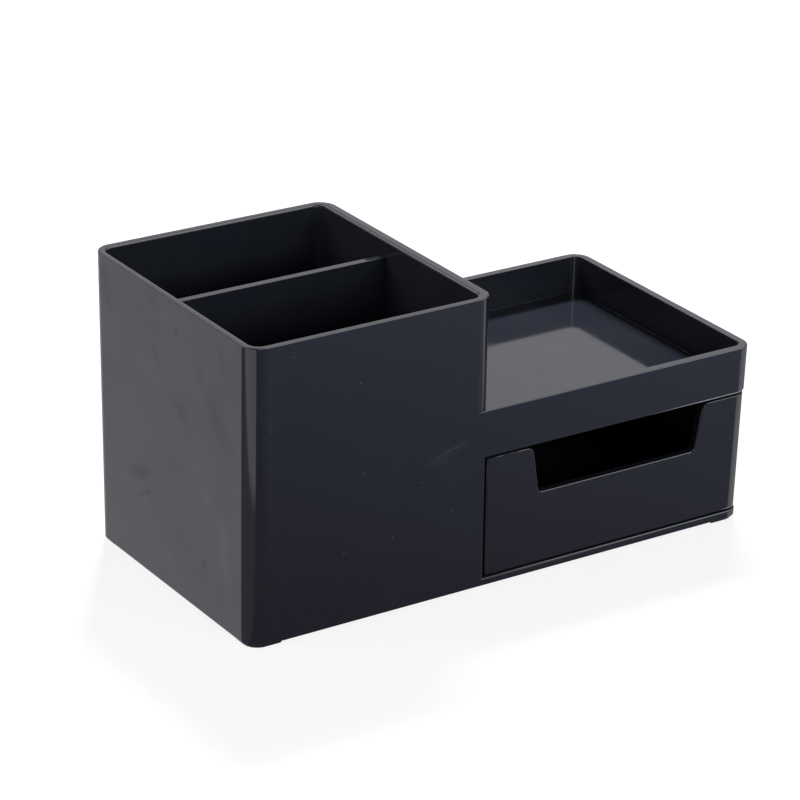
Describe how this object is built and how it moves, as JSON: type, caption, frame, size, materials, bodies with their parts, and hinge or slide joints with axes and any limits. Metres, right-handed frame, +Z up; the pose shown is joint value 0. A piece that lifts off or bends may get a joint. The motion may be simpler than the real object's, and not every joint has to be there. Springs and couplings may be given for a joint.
{
  "type": "desk organizer",
  "caption": "Moulded desk organizer with a tall divided bin on the left, a shallow open tray on the right and a sliding drawer with a finger notch under the tray.",
  "frame": {"origin": "middle of the footprint, on the surface that the feet stand on", "axes": "+X right along the long front, from the bin towards the drawer; +Y back, away from the drawer's front; +Z up"},
  "size_m": [0.172, 0.088, 0.09],
  "materials": {
    "shell": "dark navy-grey moulded plastic, smooth and glossy",
    "drawer": "dark navy-grey moulded plastic, smooth and glossy",
    "foot": "near-black soft pad"
  },
  "bodies": {
    "housing": {"housing": "shell", "bin_divider": "shell", "foot_front_left": "foot", "foot_front_right": "foot", "foot_back_left": "foot", "foot_back_right": "foot"},
    "drawer": {"drawer": "drawer"}
  },
  "joints": [
    {"name": "drawer_slide", "type": "slide", "parent": "housing", "child": "drawer", "axis": [0, -1, 0], "range_m": [0, 0.07]}
  ]
}
